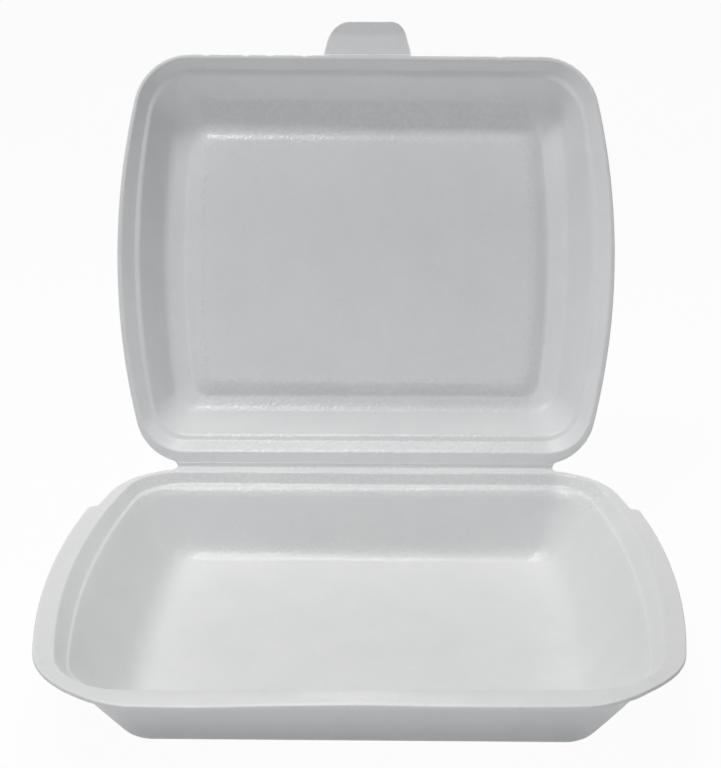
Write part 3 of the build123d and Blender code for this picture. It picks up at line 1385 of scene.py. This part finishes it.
@dataclass
class TabCrease:
    """Pressed fold that joins the root of the tab to the lid's front lip.

    Sizes are in millimetres. The runs are reaches along the lid's rim and along the tab.
    """

    tab: LockingTab
    half: float = 19.6
    proud: float = 0.04
    sink: float = 0.25
    thick: float = 1.0
    lid_run: tuple[float, ...] = (188.3, 188.6, 189.1, 189.5, 189.85)
    tab_run: tuple[float, ...] = (0.1, 0.45, 0.9, 1.3, 1.6)
    columns: int = 41

    def build(self, finish: bpy.types.Material) -> bpy.types.Object:
        """Make the fold between the lid and the tab.

        Args:
            finish: Skin of the foam.

        Returns:
            The piece.
        """
        x = np.linspace(-self.half, self.half, self.columns) + self.tab.shift
        level = [-self.proud] * (len(self.lid_run) - 1)
        tab_depths = [self.tab.inset + depth for depth in (*level, self.sink)]
        inner: list[np.ndarray] = []
        outer: list[np.ndarray] = []
        for runs, depths, plane in (
            (self.lid_run, [self.sink, *level], LID_PLANE),
            (self.tab_run, tab_depths, self.tab.plane()),
        ):
            for reach, depth in zip(runs, depths):
                line = np.column_stack([x, np.full(len(x), reach), np.zeros(len(x))])
                if plane is LID_PLANE:
                    line[:, 2] = lid_wave(line)
                inner.append(plane.place(line + INTO * depth))
                outer.append(plane.place(line + INTO * self.thick))
        piece = strip_object("tab_crease", np.stack(inner + outer[::-1], axis=1))
        worked(piece, 0.0, PLAIN)
        dress(piece, finish)
        pivot = self.tab.root()
        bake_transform(piece)
        return piece


@dataclass
class HingeWeb:
    """Thin pressed web that joins the rims and folds along the crease.

    Sizes are in millimetres. The lines are reaches from the crease with depths from the rim.
    """

    half: float = 86.8
    flare: float = 1.7
    thick: float = 0.85
    sink: float = 0.1
    reach: float = 2.3
    base_line: tuple[tuple[float, float], ...] = ((2.3, 0.5), (1.7, 0.1), (0.9, 0.1), (0.3, 0.1))
    lid_line: tuple[tuple[float, float], ...] = (
        (0.3, 0.1),
        (0.8, 0.1),
        (1.15, -0.02),
        (1.5, -0.14),
        (1.8, -0.1),
        (2.05, 0.12),
        (2.3, 0.5),
    )
    turn_steps: int = 9
    columns: int = 96

    def section(self) -> np.ndarray:
        """Section of the web from the base to the lid and back along its outside.

        Returns:
            A closed row of Y and Z from the hinge axis.
        """
        turn = math.radians(OPEN_DEG)
        near = self.sink + GAP / 2
        far = near + self.thick
        inner: list[np.ndarray] = []
        outer: list[np.ndarray] = []
        for reach, depth in self.base_line:
            inner.append(np.array((-reach, -depth - GAP / 2)))
            outer.append(np.array((-reach, -far)))
        for angle in np.linspace(-math.pi / 2, math.pi / 2 - turn, self.turn_steps):
            way = np.array((math.cos(angle), math.sin(angle)))
            inner.append(way * near)
            outer.append(way * far)
        forward = np.array((-math.cos(turn), math.sin(turn)))
        deep = np.array((math.sin(turn), math.cos(turn)))
        for reach, depth in self.lid_line:
            inner.append(forward * reach + deep * (depth + GAP / 2))
            outer.append(forward * reach + deep * far)
        return np.array(inner + outer[::-1])

    def build(self, finish: bpy.types.Material) -> bpy.types.Object:
        """Make the web between the base and the lid.

        Args:
            finish: Skin of the foam.

        Returns:
            The piece.
        """
        section = self.section()
        loop = section + np.array((HINGE_Y, AXIS_Z))
        away = np.hypot(*section.T)
        half = self.half + self.flare * np.clip(away / self.reach, 0.0, 1.0) ** 2
        shares = np.linspace(-1.0, 1.0, self.columns)
        loops = np.stack([np.column_stack([half * share, loop]) for share in shares])
        piece = strip_object("hinge_web", MM * loops)
        worked(piece, 0.0, WEB)
        dress(piece, finish)
        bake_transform(piece)
        return piece


@dataclass(frozen=True)
class Lamp:
    """Soft square lamp, in metres and watts."""

    name: str
    place: Triple
    size: float
    power: float
    tint: Triple = (1.0, 1.0, 1.0)

    def build(self, target: Vector) -> bpy.types.Object:
        """Make the lamp and turn it to a point.

        Args:
            target: The point.

        Returns:
            The lamp.
        """
        data = bpy.data.lights.new(self.name, "AREA")
        data.shape = "SQUARE"
        data.size = self.size
        data.energy = self.power
        data.color = self.tint
        lamp = linked(self.name, data)
        place = Vector(self.place)
        turn = (target - place).to_track_quat("-Z", "Y").to_matrix().to_4x4()
        lamp.matrix_world = Matrix.Translation(place) @ turn
        return lamp


@dataclass
class Studio:
    """Pale floor, white surround, soft lamps and the camera, in metres."""

    floor_half: float = 4.0
    floor_white: float = 0.9
    floor_glow: float = 0.96
    ambient: float = 0.06
    ambient_tint: Triple = (0.97, 0.985, 1.0)
    lamps: tuple[Lamp, ...] = (
        Lamp("key", (-0.27, -0.2, 0.95), 0.22, 3.3),
        Lamp("rear", (-0.05, 0.3, 1.0), 0.3, 3.3, (1.0, 0.99, 0.975)),
        Lamp("front", (-0.4, -1.4, 1.37), 0.8, 1.0, (0.9, 0.96, 1.0)),
        Lamp("low", (0.0, -0.95, 0.1), 0.2, 0.9, (0.88, 0.95, 1.0)),
        Lamp("back", (0.0, 1.9, 0.5), 0.6, 1.5),
    )
    lamp_target: Triple = (0.0, 0.05, 0.08)
    camera_place: Triple = (0.00888, -0.5055, 0.2930)
    pitch_deg: float = 19.67
    yaw_deg: float = -1.02
    roll_deg: float = -0.12
    focal_px: float = 1402.28
    image_height: float = 768.0
    sensor: float = 36.0
    clip_start: float = 0.01

    def floor(self) -> bpy.types.Object:
        """Pale floor that keeps the shadow and shows white to the camera.

        Returns:
            The floor.
        """
        h = self.floor_half
        mesh = bpy.data.meshes.new("floor")
        mesh.from_pydata([(-h, -h, 0), (h, -h, 0), (h, h, 0), (-h, h, 0)], [], [(0, 1, 2, 3)])
        made = bpy.data.materials.new("pale_floor")
        made.use_nodes = True
        wiring = Wiring(made.node_tree)
        matte = wiring.add("ShaderNodeBsdfDiffuse", {"Color": (self.floor_white,) * 3 + (1.0,)})
        glow = wiring.add("ShaderNodeEmission", {"Strength": 1.0})
        seen = {0: self.seen(wiring), 1: self.floor_glow}
        share = wiring.add("ShaderNodeMath", seen, operation="MULTIPLY").outputs["Value"]
        inputs = {"Fac": share, 1: matte.outputs["BSDF"], 2: glow.outputs["Emission"]}
        mix = wiring.add("ShaderNodeMixShader", inputs)
        wiring.add("ShaderNodeOutputMaterial", {"Surface": mix.outputs["Shader"]})
        mesh.materials.append(made)
        floor = linked("floor", mesh)
        return floor

    @staticmethod
    def seen(wiring: Wiring) -> bpy.types.NodeSocket:
        """Tell rays that look at the background from those that light the box.

        Args:
            wiring: The tree to add to.

        Returns:
            Socket that is 1 for rays from the camera, from gloss and through glass.
        """
        rays = wiring.add("ShaderNodeLightPath").outputs
        seen = rays["Is Camera Ray"]
        for ray in ("Is Glossy Ray", "Is Transmission Ray"):
            either = wiring.add("ShaderNodeMath", {0: seen, 1: rays[ray]}, operation="MAXIMUM")
            seen = either.outputs["Value"]
        return seen

    def surround(self) -> None:
        """World: white to the camera, soft light to everything else."""
        world = bpy.data.worlds.new("surround")
        bpy.context.scene.world = world
        world.use_nodes = True
        wiring = Wiring(world.node_tree)
        soft = {"Color": (*self.ambient_tint, 1.0), "Strength": self.ambient}
        white = {"Color": (1.0, 1.0, 1.0, 1.0), "Strength": 1.0}
        light, plain = (wiring.add("ShaderNodeBackground", given) for given in (soft, white))
        inputs = {
            "Fac": self.seen(wiring),
            1: light.outputs["Background"],
            2: plain.outputs["Background"],
        }
        mix = wiring.add("ShaderNodeMixShader", inputs)
        wiring.add("ShaderNodeOutputWorld", {"Surface": mix.outputs["Shader"]})

    def camera(self) -> bpy.types.Object:
        """Camera at the photograph's viewing angle.

        Returns:
            The camera.
        """
        pitch, yaw, roll = (math.radians(a) for a in (self.pitch_deg, self.yaw_deg, self.roll_deg))
        ahead = Vector(
            (math.sin(yaw) * math.cos(pitch), math.cos(yaw) * math.cos(pitch), -math.sin(pitch))
        )
        level = Vector((math.cos(yaw), -math.sin(yaw), 0.0))
        above = level.cross(ahead)
        right = math.cos(roll) * level + math.sin(roll) * above
        up = -math.sin(roll) * level + math.cos(roll) * above
        turn = Matrix((right, up, -ahead)).transposed().to_4x4()
        data = bpy.data.cameras.new("camera")
        data.sensor_width = self.sensor
        data.lens = self.focal_px * self.sensor / self.image_height
        data.clip_start = self.clip_start
        camera = linked("camera", data)
        camera.matrix_world = Matrix.Translation(Vector(self.camera_place)) @ turn
        bpy.context.scene.camera = camera
        return camera

    def build(self) -> None:
        """Set up the floor, the surround, the lamps and the camera."""
        bpy.context.scene.view_settings.view_transform = "Standard"
        self.floor()
        self.surround()
        for lamp in self.lamps:
            lamp.build(Vector(self.lamp_target))
        self.camera()


def main() -> None:
    """Build the pieces in order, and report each."""
    logging.basicConfig(level=logging.INFO, format="%(name)s: %(message)s")
    skin = FoamFinish().material()
    base, lid, tab = BaseShell(), LidShell(), LockingTab()
    for build in (
        base.build,
        base.cells,
        lid.build,
        lid.cells,
        tab.build,
        tab.cells,
        TabCrease(tab).build,
        HingeWeb().build,
    ):
        piece = build(skin)
        LOG.info("%s: %d faces", piece.name, len(piece.data.polygons))
    Studio().build()


if __name__ == "__main__":
    main()
